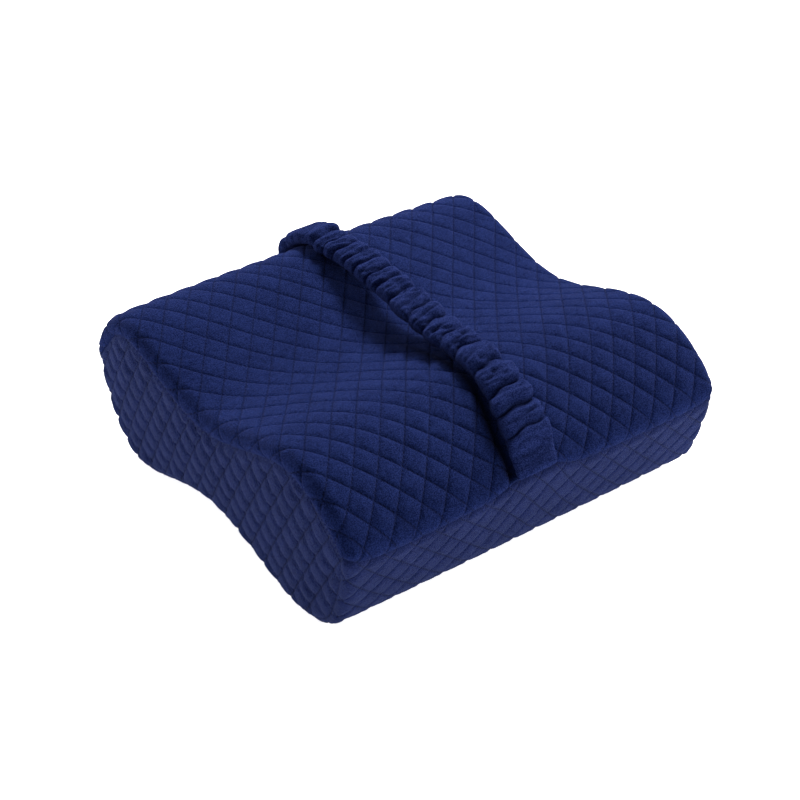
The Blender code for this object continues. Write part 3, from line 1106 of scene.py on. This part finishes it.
@dataclass
class GatheredStrap:
    """The elastic strap in its gathered velour tube, sewn flat into both seams."""

    outline: SideOutline
    course: StrapCourse
    thickness: float = 10.4 * MM
    gap: float = 0.5 * MM
    front_inset: float = 4.5 * MM
    back_inset: float = 1.0 * MM
    tab_thickness: float = 4.6 * MM
    tab_length: float = 14 * MM
    fill_reach: float = 12 * MM
    last_gather: float = 14 * MM
    roll_skew: float = 1.12
    roll_power: float = 2.3
    roll_round: float = 0.62
    crease_depth: float = 0.50
    crease_wave: float = 0.7 * MM
    tab_crease: float = 0.35
    tab_pucker: float = 0.6
    tab_painted_shade: float = 0.3
    edge_scallop: float = 0.16
    flop: float = 1.0 * MM
    hem_rounding: float = 3.0 * MM
    hem_share: float = 0.35
    hem_corner: float = 1.6 * MM
    pucker_depth: float = 3.0 * MM
    pucker_reach: float = 1.1 * MM
    side_pucker: float = 0.5
    uneven_thickness: float = 0.09
    uneven_width: float = 0.05
    uneven_side: float = 0.7 * MM
    ripple: float = 0.26 * MM
    ripple_waves: tuple[float, ...] = (3.1 * MM, 4.3 * MM, 5.9 * MM)
    ripple_lean: float = 0.5
    ripple_turn: float = 6.28
    ripple_patch: float = 9.0 * MM
    ripple_slant: float = 2.0
    small_puckers: int = 70
    small_reach: tuple[float, float] = (0.15, 0.45)
    small_depth: tuple[float, float] = (0.15, 0.45)
    small_slant: tuple[float, float] = (-3.0, 5.0)
    # Painted shade on the strap: the lower part of each side wall, fading out along the strap, and the
    # creases and puckers.
    wall_top: float = -0.5
    wall_low: float = 0.3
    wall_fade: float = 0.9
    wall_range: tuple[float, float] = (110 * MM, 190 * MM)
    painted_crease_shade_power: float = 2.8
    painted_pucker_shade: float = 0.22
    waves_across: float = 5.0
    route_steps: int = 1500
    rings: int = 560
    ring_points: int = 60
    squareness: float = 0.66
    seed: int = 5

    @property
    def first_gather(self) -> float:
        """Where the first gather starts, from the front seam."""
        return 2.0 * self.front_inset

    def route(self) -> tuple[np.ndarray, np.ndarray, float]:
        """Lay the strap's underside taut over the lobes.

        Returns:
            Y and Z along it, the distances from the front seam, and the whole
            length.
        """
        over = np.linspace(self.outline.round, self.outline.back_seam, self.route_steps)
        middle = np.zeros_like(over)
        line = self.outline.place(over, middle, middle - self.outline.stand_out - self.gap)
        taut: list[np.ndarray] = []
        for point in line[np.argsort(line[:, 0], kind="stable")]:
            while len(taut) > 1:
                step, reach = taut[-1] - taut[-2], point - taut[-2]
                if step[0] * reach[1] - step[1] * reach[0] < 0.0:
                    break
                taut.pop()
            taut.append(point)
        line = np.array(taut)
        strides = np.linalg.norm(np.diff(line, axis=0), axis=1)
        travelled = np.concatenate([[0.0], np.cumsum(strides)])
        whole = float(travelled[-1])
        places = np.linspace(self.front_inset, whole - self.back_inset, self.rings)
        points = np.column_stack([np.interp(places, travelled, line[:, axis]) for axis in (0, 1)])
        return points, places, whole

    def gathers(self, places: np.ndarray, across: np.ndarray) -> tuple[np.ndarray, np.ndarray, np.ndarray]:
        """Read the gathers at points of the strap.

        Args:
            places: Distance from the front seam of each point.
            across: Place across the strap, from -1 at its left edge to 1.

        Returns:
            How far each point is down a crease (0 to about 1), the number of
            its gather, and the share of the way through it.
        """
        waves = np.random.default_rng(self.seed + 1).uniform(0.0, 2.0 * math.pi, len(CREASES))
        lines = [
            crease.line(across) + self.crease_wave * np.sin(self.waves_across * across + wave)
            for crease, wave in zip(CREASES, waves)
        ]
        lines.append(lines[-1] + self.last_gather)
        depths = [*(crease.depth for crease in CREASES), 0.0]
        before = np.full(places.shape, self.first_gather)
        depth_before = np.zeros(places.shape)
        number = np.zeros(places.shape, dtype=int)
        after = lines[0]
        depth_after = np.full(places.shape, depths[0])
        for index in range(len(CREASES)):
            passed = places >= lines[index]
            before = np.where(passed, lines[index], before)
            depth_before = np.where(passed, depths[index], depth_before)
            number = np.where(passed, index + 1, number)
            after = np.where(passed, lines[index + 1], after)
            depth_after = np.where(passed, depths[index + 1], depth_after)
        share = np.clip((places - before) / (after - before), 0.0, 1.0)
        roll = (1.0 - np.abs(2.0 * share**self.roll_skew - 1.0) ** self.roll_power) ** self.roll_round
        depth = depth_before + (depth_after - depth_before) * share
        return depth * (1.0 - roll), number, share

    def puckers(self, places: np.ndarray, across: np.ndarray) -> np.ndarray:
        """Add up the short creases at points of the strap.

        Args:
            places: Distance from the front seam of each point.
            across: Place across the strap of each point.

        Returns:
            Their depth.
        """
        depth = np.zeros(places.shape)
        for pucker in (*PUCKERS, *self.small()):
            depth += pucker.dent(places, across, self.pucker_reach)
        return depth * self.pucker_depth

    def small(self) -> list[Pucker]:
        """Scatter the smallest creases along the strap.

        Returns:
            The creases.
        """
        lots = np.random.default_rng(self.seed + 2)
        low, high = self.first_gather / MM, CREASES[-1].right
        return [
            Pucker(
                place=lots.uniform(low, high),
                middle=lots.uniform(-1.0, 1.0),
                reach=lots.uniform(*self.small_reach),
                depth=lots.uniform(*self.small_depth),
                slant=lots.uniform(*self.small_slant),
            )
            for _ in range(self.small_puckers)
        ]

    def ripples(self, places: np.ndarray, across: np.ndarray) -> np.ndarray:
        """Draft the fine wrinkles of the cloth, which run across the strap.

        Args:
            places: Distance from the front seam of each point.
            across: Place across the strap of each point.

        Returns:
            Their height.
        """
        lots = np.random.default_rng(self.seed)
        total = np.zeros(places.shape)
        for wave in self.ripple_waves:
            lean = lots.uniform(-self.ripple_lean, self.ripple_lean)
            start, patch = lots.uniform(0, self.ripple_turn), lots.uniform(0, self.ripple_turn)
            phase = 2.0 * math.pi * (places / wave + lean * across) + start
            patches = np.sin(places / self.ripple_patch + self.ripple_slant * across + patch)
            total += np.sin(phase) * (0.5 + 0.5 * patches)
        return total * self.ripple

    def build(self) -> bpy.types.Object:
        """Make the strap as one closed tube of rolls.

        Returns:
            The strap, without a finish.
        """
        line, places, whole = self.route()
        forward = unit(np.gradient(line, axis=0))
        outward = np.column_stack([-forward[:, 1], forward[:, 0]])
        angle = np.linspace(0.0, 2.0 * math.pi, self.ring_points, endpoint=False)
        across = np.sign(np.cos(angle)) * np.abs(np.cos(angle)) ** self.squareness
        lift = np.sign(np.sin(angle)) * np.abs(np.sin(angle)) ** self.squareness
        place, side = np.meshgrid(places, across, indexing="ij")
        lifts = np.broadcast_to(lift, place.shape)
        from_end = np.minimum(place, whole - place)
        fullness = smooth_step(self.tab_length, self.tab_length + self.fill_reach, from_end)
        down, number, share = self.gathers(place, side)
        lots = np.random.default_rng(self.seed).uniform(-1.0, 1.0, (len(CREASES) + 1, 3))
        swell = np.sin(math.pi * share) * fullness
        thick = self.thickness * (1.0 + self.uneven_thickness * lots[number, 0] * swell)
        thick = self.tab_thickness + (thick - self.tab_thickness) * fullness
        thick *= 1.0 - self.crease_depth * down * self.grown(self.tab_crease, fullness)
        upper = np.maximum(lifts, 0.0)
        pucker = self.puckers(place, side) * np.sqrt(upper) - self.ripples(place, side)
        pucker *= self.grown(self.tab_pucker, fullness)
        half = self.course.half_width(place, from_end)
        half *= 1.0 - self.edge_scallop * down * fullness + self.uneven_width * lots[number, 1] * swell
        hem = np.clip((place - places[0]) / self.hem_rounding, 0.0, 1.0)
        hem = np.sqrt(hem * (2.0 - hem))
        thick *= self.hem_share + (1.0 - self.hem_share) * hem
        half -= (1.0 - hem) * self.hem_corner
        slip = self.course.middle(place, whole) + self.uneven_side * lots[number, 2] * swell
        rise = thick * (0.5 + 0.5 * lifts) - pucker * upper
        lean = -self.flop * upper * (1.0 - np.clip(down, 0.0, 1.0)) * fullness
        points = np.empty((*place.shape, 3))
        points[..., 0] = slip + side * (half - self.side_pucker * pucker * np.abs(side))
        points[..., 1:] = line[:, None] + outward[:, None] * rise[..., None]
        points[..., 1:] += forward[:, None] * lean[..., None]
        strap = self.tube(points, places)
        # Painted shade: dark on the lower side walls, in the creases and in the puckers, stored as a point
        # attribute.
        painted_wall_shade = smooth_step(self.wall_top, self.wall_low, -lifts) * fullness
        painted_wall_shade *= 1.0 - self.wall_fade * smooth_step(*self.wall_range, place)
        painted_shade = np.clip(down, 0.0, 1.0) ** self.painted_crease_shade_power * self.grown(self.tab_painted_shade, fullness)
        painted_shade = np.clip(np.maximum(painted_shade, self.painted_pucker_shade * pucker / MM), 0.0, 1.0)
        shade = np.concatenate([np.maximum(painted_shade, painted_wall_shade).ravel(), np.ones(2)])
        Sewing.mark(strap, "painted_shade", shade)
        return strap

    def grown(self, tab_share: float, fullness: np.ndarray) -> np.ndarray:
        """Return shares that grow from one at the sewn tabs to 1 in the gathers."""
        return tab_share + (1.0 - tab_share) * fullness

    def tube(self, points: np.ndarray, places: np.ndarray) -> bpy.types.Object:
        """Close rings of points into a tube with flat ends.

        Args:
            points: The points, as rings by places round them.
            places: The distance from the front seam of each ring.

        Returns:
            The tube.
        """
        ring_count, ring_points = points.shape[:2]
        number = np.arange(ring_count * ring_points).reshape(ring_count, ring_points)
        beside = np.roll(number, -1, axis=1)
        quads = np.stack([number[:-1], beside[:-1], beside[1:], number[1:]], axis=-1).reshape(-1, 4)
        round_share = np.linspace(0.0, 1.0, ring_points + 1)
        length = (places - places[0]) / self.course.width
        marks = np.empty((ring_count - 1, ring_points, 4, 2))
        marks[..., 0, 0] = marks[..., 3, 0] = round_share[:-1]
        marks[..., 1, 0] = marks[..., 2, 0] = round_share[1:]
        marks[..., 0, 1] = marks[..., 1, 1] = length[:-1, None]
        marks[..., 2, 1] = marks[..., 3, 1] = length[1:, None]
        first = np.stack([quads[:, 0], quads[:, 1], quads[:, 2]], axis=-1)
        second = np.stack([quads[:, 0], quads[:, 2], quads[:, 3]], axis=-1)
        corners = marks.reshape(-1, 4, 2)
        faces = [first, second]
        uvs = [corners[:, [0, 1, 2]], corners[:, [0, 2, 3]]]
        ends = []
        for ring, turned in ((0, True), (ring_count - 1, False)):
            centre = number.size + len(ends)
            ends.append(points[ring].mean(axis=0))
            fan = np.stack([np.full(ring_points, centre), number[ring], beside[ring]], axis=-1)
            faces.append(fan[:, ::-1] if turned else fan)
            uvs.append(np.zeros((ring_points, 3, 2)))
        every = np.concatenate([points.reshape(-1, 3), np.array(ends)])
        marks_flat = np.concatenate([part.reshape(-1, 2) for part in uvs])
        return Sewing.mesh("gathered_strap", every, np.concatenate(faces), marks_flat)


class Bench:
    """A node tree under construction, with short ways to add and join nodes."""

    def __init__(self, name: str) -> None:
        """Start an empty material.

        Args:
            name: The name of the material.
        """
        self.material = bpy.data.materials.new(name)
        self.material.use_nodes = True
        self.tree = self.material.node_tree
        self.shader = self.tree.nodes["Principled BSDF"]

    def add(self, kind: str, **settings: object) -> bpy.types.Node:
        """Add a node.

        Args:
            kind: The node's type.
            settings: The node's own settings by name.

        Returns:
            The node.
        """
        node = self.tree.nodes.new(kind)
        for key, value in settings.items():
            setattr(node, key, value)
        return node

    def join(self, source: bpy.types.NodeSocket, target: bpy.types.NodeSocket) -> None:
        """Join an output to an input."""
        self.tree.links.new(source, target)

    def feed(self, slot: bpy.types.NodeSocket, value: object) -> None:
        """Join a socket to an input, or set the input to a plain value.

        Args:
            slot: The input.
            value: A socket, a number, or the numbers of a colour.
        """
        if isinstance(value, bpy.types.NodeSocket):
            self.join(value, slot)
        else:
            slot.default_value = value

    def maths(self, operation: str, *values: object) -> bpy.types.NodeSocket:
        """Add a maths node.

        Args:
            operation: The operation's name.
            values: Sockets or numbers.

        Returns:
            The result's socket.
        """
        node = self.add("ShaderNodeMath", operation=operation)
        for slot, value in zip(node.inputs, values):
            self.feed(slot, value)
        return node.outputs[0]

    def eased(
        self, value: bpy.types.NodeSocket, marks: tuple[float, float, float, float]
    ) -> bpy.types.NodeSocket:
        """Map a value from one range to another with eased ends.

        Args:
            value: The value's socket.
            marks: The low and high ends of the first range, then of the second.

        Returns:
            The result's socket.
        """
        node = self.add("ShaderNodeMapRange", interpolation_type="SMOOTHSTEP")
        self.join(value, node.inputs["Value"])
        for name, mark in zip(("From Min", "From Max", "To Min", "To Max"), marks):
            node.inputs[name].default_value = mark
        return node.outputs["Result"]

    def noise(self, scale: float, detail: float = 2.0, roughness: float = 0.5) -> bpy.types.NodeSocket:
        """Add noise in the object's own coordinates.

        Args:
            scale: How fine the noise is.
            detail: How many finer layers it has.
            roughness: How strong they are.

        Returns:
            The noise's socket.
        """
        place = self.add("ShaderNodeTexCoord")
        node = self.add("ShaderNodeTexNoise")
        self.join(place.outputs["Object"], node.inputs["Vector"])
        node.inputs["Scale"].default_value = scale
        node.inputs["Detail"].default_value = detail
        node.inputs["Roughness"].default_value = roughness
        return node.outputs["Fac"]

    def blend(self, share: bpy.types.NodeSocket, first: object, second: object) -> bpy.types.NodeSocket:
        """Blend two colours.

        Args:
            share: The share of the second colour.
            first: A socket or three numbers.
            second: A socket or three numbers.

        Returns:
            The blended colour's socket.
        """
        node = self.add("ShaderNodeMix", data_type="RGBA")
        self.join(share, node.inputs["Factor"])
        for name, value in (("A", first), ("B", second)):
            slot = next(item for item in node.inputs if item.name == name and item.type == "RGBA")
            self.feed(slot, (*value, 1.0) if isinstance(value, tuple) else value)
        return next(item for item in node.outputs if item.type == "RGBA")

    def bump(
        self, height: bpy.types.NodeSocket, distance: float, strength: float, under: object = None
    ) -> bpy.types.NodeSocket:
        """Add a bump, over another one if it is given.

        Args:
            height: The height's socket.
            distance: How high the bump is.
            strength: How much of it shows.
            under: The normal of another bump.

        Returns:
            The normal's socket.
        """
        node = self.add("ShaderNodeBump")
        node.inputs["Strength"].default_value = strength
        node.inputs["Distance"].default_value = distance
        self.join(height, node.inputs["Height"])
        if under is not None:
            self.join(under, node.inputs["Normal"])
        return node.outputs["Normal"]


@dataclass(frozen=True)
class Velour:
    """Short napped navy cloth."""

    name: str
    deep: tuple[float, float, float] = (0.0030, 0.0075, 0.0450)
    light: tuple[float, float, float] = (0.0165, 0.0315, 0.1420)
    bloom: tuple[float, float, float] = (0.36, 0.42, 1.0)
    bloom_weight: float = 0.09
    bloom_roughness: float = 0.35
    roughness: float = 1.0
    gloss: float = 0.02
    nap_scale: float = 1700.0
    nap_detail: float = 3.0
    nap_roughness: float = 0.7
    nap_height: float = 0.9 * MM
    nap_strength: float = 1.0
    patch_scale: float = 330.0
    patch_height: float = 1.2 * MM
    patch_strength: float = 0.25
    brushed_scale: float = 60.0
    patch_share: float = 0.12
    brushed_share: float = 0.12
    mottle_range: tuple[float, float] = (0.48, 0.76)
    # Painted shade: a near-black colour blended in by the point attribute, in the strap's creases, puckers
    # and lower walls and beside the strap on the cover.
    painted_shade_colour: tuple[float, float, float] = (0.0012, 0.0030, 0.0170)
    painted_shade_weight: float = 0.68

    def start(self) -> tuple[Bench, bpy.types.NodeSocket, bpy.types.NodeSocket]:
        """Make the plain nap.

        Returns:
            The bench, the nap's colour, and its bumped normal.
        """
        bench = Bench(self.name)
        shader = bench.shader
        shader.inputs["Roughness"].default_value = self.roughness
        shader.inputs["Specular IOR Level"].default_value = self.gloss
        shader.inputs["Sheen Weight"].default_value = self.bloom_weight
        shader.inputs["Sheen Roughness"].default_value = self.bloom_roughness
        shader.inputs["Sheen Tint"].default_value = (*self.bloom, 1.0)
        fibre = bench.noise(self.nap_scale, self.nap_detail, self.nap_roughness)
        patch = bench.noise(self.patch_scale)
        brushed = bench.noise(self.brushed_scale)
        fine = bench.maths("ADD", bench.maths("MULTIPLY", patch, self.patch_share), fibre)
        mottle = bench.maths("ADD", fine, bench.maths("MULTIPLY", brushed, self.brushed_share))
        shade = bench.eased(mottle, (*self.mottle_range, 0.0, 1.0))
        colour = bench.blend(shade, self.deep, self.light)
        normal = bench.bump(fibre, self.nap_height, self.nap_strength)
        normal = bench.bump(patch, self.patch_height, self.patch_strength, normal)
        return bench, colour, normal

    def finish(
        self, bench: Bench, colour: bpy.types.NodeSocket, normal: bpy.types.NodeSocket
    ) -> bpy.types.Material:
        """Blend in the painted shade from the point attribute, and join colour and normal to the shader.

        Args:
            bench: The bench.
            colour: The cloth's colour.
            normal: Its bumped normal.

        Returns:
            The material.
        """
        painted_shade = bench.add("ShaderNodeAttribute", attribute_name="painted_shade").outputs["Fac"]
        colour = bench.blend(bench.maths("MULTIPLY", painted_shade, self.painted_shade_weight), colour, self.painted_shade_colour)
        bench.join(colour, bench.shader.inputs["Base Color"])
        bench.join(normal, bench.shader.inputs["Normal"])
        return bench.material

    def make(self) -> bpy.types.Material:
        """Return the plain cloth."""
        return self.finish(*self.start())


@dataclass(frozen=True)
class QuiltedVelour(Velour):
    """The same cloth with its lines of quilting stitches."""

    # Colour along the stitch lines: dark thread mixed with painted shade of the sunk lines.
    thread_and_painted_groove_shade: tuple[float, float, float] = (0.0030, 0.0040, 0.0150)
    line_core: float = 0.018
    line_edge: float = 0.050
    stitches_a_side: float = 5.0
    stitch_show: float = 0.70
    line_weight: float = 0.58
    fray: float = 0.05
    fray_scale: float = 900.0
    fray_detail: float = 1.0
    half_cell: float = 0.5
    noise_middle: float = 0.5
    stitch_height: float = 0.6 * MM
    stitch_strength: float = 0.5

    def make(self) -> bpy.types.Material:
        """Make the quilted cloth, darker and dashed along its stitch lines, the darkening partly the dark
        thread and partly painted shade in the sunk lines.

        Returns:
            The material.
        """
        bench, colour, normal = self.start()
        marks = bench.add("ShaderNodeUVMap", uv_map="cloth")
        parts = bench.add("ShaderNodeSeparateXYZ")
        bench.join(marks.outputs["UV"], parts.inputs["Vector"])
        first, second = parts.outputs["X"], parts.outputs["Y"]
        gap_first = bench.maths("PINGPONG", first, self.half_cell)
        gap_second = bench.maths("PINGPONG", second, self.half_cell)
        gap = bench.maths("MINIMUM", gap_first, gap_second)
        fray = bench.maths("SUBTRACT", bench.noise(self.fray_scale, self.fray_detail), self.noise_middle)
        gap = bench.maths("ADD", gap, bench.maths("MULTIPLY", fray, self.fray))
        line = bench.eased(gap, (self.line_core, self.line_edge, 1.0, 0.0))
        both = bench.maths("ADD", first, second)
        beat = bench.maths("SINE", bench.maths("MULTIPLY", both, 2.0 * math.pi * self.stitches_a_side))
        swing = 0.5 * self.stitch_show
        dash = bench.maths("MULTIPLY_ADD", beat, swing, 1.0 - swing)
        shade = bench.maths("MULTIPLY", line, dash)
        # Darken along the stitch lines: partly the dark thread, partly painted shade in the sunk lines.
        colour = bench.blend(bench.maths("MULTIPLY", shade, self.line_weight), colour, self.thread_and_painted_groove_shade)
        raised = bench.maths("SUBTRACT", 1.0, shade)
        normal = bench.bump(raised, self.stitch_height, self.stitch_strength, normal)
        return self.finish(bench, colour, normal)


QUILTED_TOP = QuiltedVelour("quilted_velour_top", painted_shade_weight=0.95)
# Copy of the cloth for the sides: lighter, greyer base colours painted in for the extra light the sides
# catch, and more sheen.
QUILTED_SIDES_PAINTED_LIGHTER = QuiltedVelour(
    "quilted_velour_sides_painted_lighter",
    deep=(0.0070, 0.0120, 0.0580),
    light=(0.0215, 0.0330, 0.1350),
    bloom=(0.52, 0.62, 1.0),
    bloom_weight=0.14,
    mottle_range=(0.46, 0.78),
    line_weight=0.60,
)
PLAIN_STRAP = Velour("plain_velour_nap", bloom_weight=0.05, light=(0.0240, 0.0405, 0.1680))


@dataclass(frozen=True)
class PaleFloor:
    """Matt pale studio floor."""

    colour: tuple[float, float, float] = (0.86, 0.86, 0.87)
    roughness: float = 0.9
    gloss: float = 0.1
    glow: float = 1.05

    def make(self) -> bpy.types.Material:
        """Make the floor's finish.

        Returns:
            The material.
        """
        bench = Bench("pale_floor")
        bench.shader.inputs["Base Color"].default_value = (*self.colour, 1.0)
        bench.shader.inputs["Roughness"].default_value = self.roughness
        bench.shader.inputs["Specular IOR Level"].default_value = self.gloss
        bench.shader.inputs["Emission Color"].default_value = (*self.colour, 1.0)
        bench.shader.inputs["Emission Strength"].default_value = self.glow
        return bench.material


@dataclass(frozen=True)
class Softbox:
    """A square area light that points at the pillow."""

    name: str
    place: tuple[float, float, float]
    size: float
    power: float
    colour: tuple[float, float, float] = (1.0, 1.0, 1.0)


@dataclass(frozen=True)
class Studio:
    """Floor, soft lights and camera."""

    aim: tuple[float, float, float] = (0.0, 0.0, 0.04375)
    azimuth: float = math.radians(-36.58)
    elevation: float = math.radians(32.96)
    distance: float = 1.02425
    roll: float = math.radians(-0.773)
    slide_right: float = 0.3 * MM
    slide_up: float = 2.7 * MM
    sensor: float = 36.0
    lens: float = 81.54
    floor_size: float = 12.0
    sky: tuple[float, float, float] = (1.0, 1.0, 1.0)
    sky_strength: float = 0.19
    softboxes: tuple[Softbox, ...] = (
        Softbox("key_softbox", (1.00, 0.80, 1.25), 0.5, 55.0, (1.0, 0.98, 0.96)),
        Softbox("back_softbox", (-0.3, 1.4, 0.9), 0.8, 5.0),
        Softbox("left_softbox", (-0.90, 1.20, 0.20), 0.5, 10.0, (1.0, 0.97, 0.94)),
        Softbox("front_softbox", (1.2, -1.1, 0.45), 0.5, 13.0, (1.0, 0.97, 0.94)),
    )

    def lay_floor(self) -> None:
        """Lay the floor under the pillow."""
        half = self.floor_size / 2.0
        corners = [(-half, -half, 0), (half, -half, 0), (half, half, 0), (-half, half, 0)]
        mesh = bpy.data.meshes.new("studio_floor")
        mesh.from_pydata(corners, [], [(0, 1, 2, 3)])
        floor = set_out("studio_floor", mesh)
        mesh.materials.append(PaleFloor().make())

    def set_camera(self) -> None:
        """Set the camera at the photograph's viewing angle."""
        level, height = math.cos(self.elevation), math.sin(self.elevation)
        back = Vector((math.sin(self.azimuth) * level, -math.cos(self.azimuth) * level, height))
        right = Vector((math.cos(self.azimuth), math.sin(self.azimuth), 0.0))
        up = back.cross(right)
        rolled_right = right * math.cos(self.roll) + up * math.sin(self.roll)
        rolled_up = up * math.cos(self.roll) - right * math.sin(self.roll)
        place = Vector(self.aim) + back * self.distance
        place -= rolled_right * self.slide_right + rolled_up * self.slide_up
        lens = bpy.data.cameras.new("studio_camera")
        lens.sensor_width = self.sensor
        lens.lens = self.lens
        camera = set_out("studio_camera", lens)
        turn = Matrix((rolled_right, rolled_up, back)).transposed().to_4x4()
        camera.matrix_world = Matrix.Translation(place) @ turn
        bpy.context.scene.camera = camera

    def light(self) -> None:
        """Hang the softboxes and set a plain white sky."""
        world = bpy.data.worlds.new("studio_sky")
        world.use_nodes = True
        background = world.node_tree.nodes["Background"]
        background.inputs["Color"].default_value = (*self.sky, 1.0)
        background.inputs["Strength"].default_value = self.sky_strength
        bpy.context.scene.world = world
        for box in self.softboxes:
            lamp = bpy.data.lights.new(box.name, "AREA")
            lamp.size = box.size
            lamp.energy = box.power
            lamp.color = box.colour
            hung = set_out(box.name, lamp)
            hung.location = box.place
            towards = Vector(self.aim) - Vector(box.place)
            hung.rotation_euler = towards.to_track_quat("-Z", "Y").to_euler()

    def build(self) -> None:
        """Set up the whole studio."""
        self.lay_floor()
        self.light()
        self.set_camera()
        bpy.context.scene.view_settings.view_transform = "Standard"


def dress(piece: bpy.types.Object, node: str, finishes: tuple[Velour, ...]) -> None:
    """Give a piece its finish and let it stand for its solid.

    Args:
        piece: The piece.
        node: The solid that it replaces.
        finishes: The cloths of the piece, in the order of its faces' finish numbers.
    """
    for finish in finishes:
        piece.data.materials.append(finish.make())
    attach(piece, "root")
    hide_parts(node)
    LOG.info("%s: %d triangles in place of %s", piece.name, len(piece.data.polygons), node)


def write_sizes() -> None:
    """Log the end of the dressing."""
    LOG.info("sizes written")


def main() -> None:
    """Sew the cover and the strap, dress them, and set up the studio."""
    logging.basicConfig(level=logging.INFO, format="%(message)s")
    outline, course = SideOutline(), StrapCourse()
    cover = QuiltedCover(outline, course).build()
    dress(cover, "pillow", (QUILTED_TOP, QUILTED_SIDES_PAINTED_LIGHTER))
    strap = GatheredStrap(outline, course).build()
    dress(strap, "strap", (PLAIN_STRAP,))
    Studio().build()
    write_sizes()


if __name__ == "__main__":
    main()
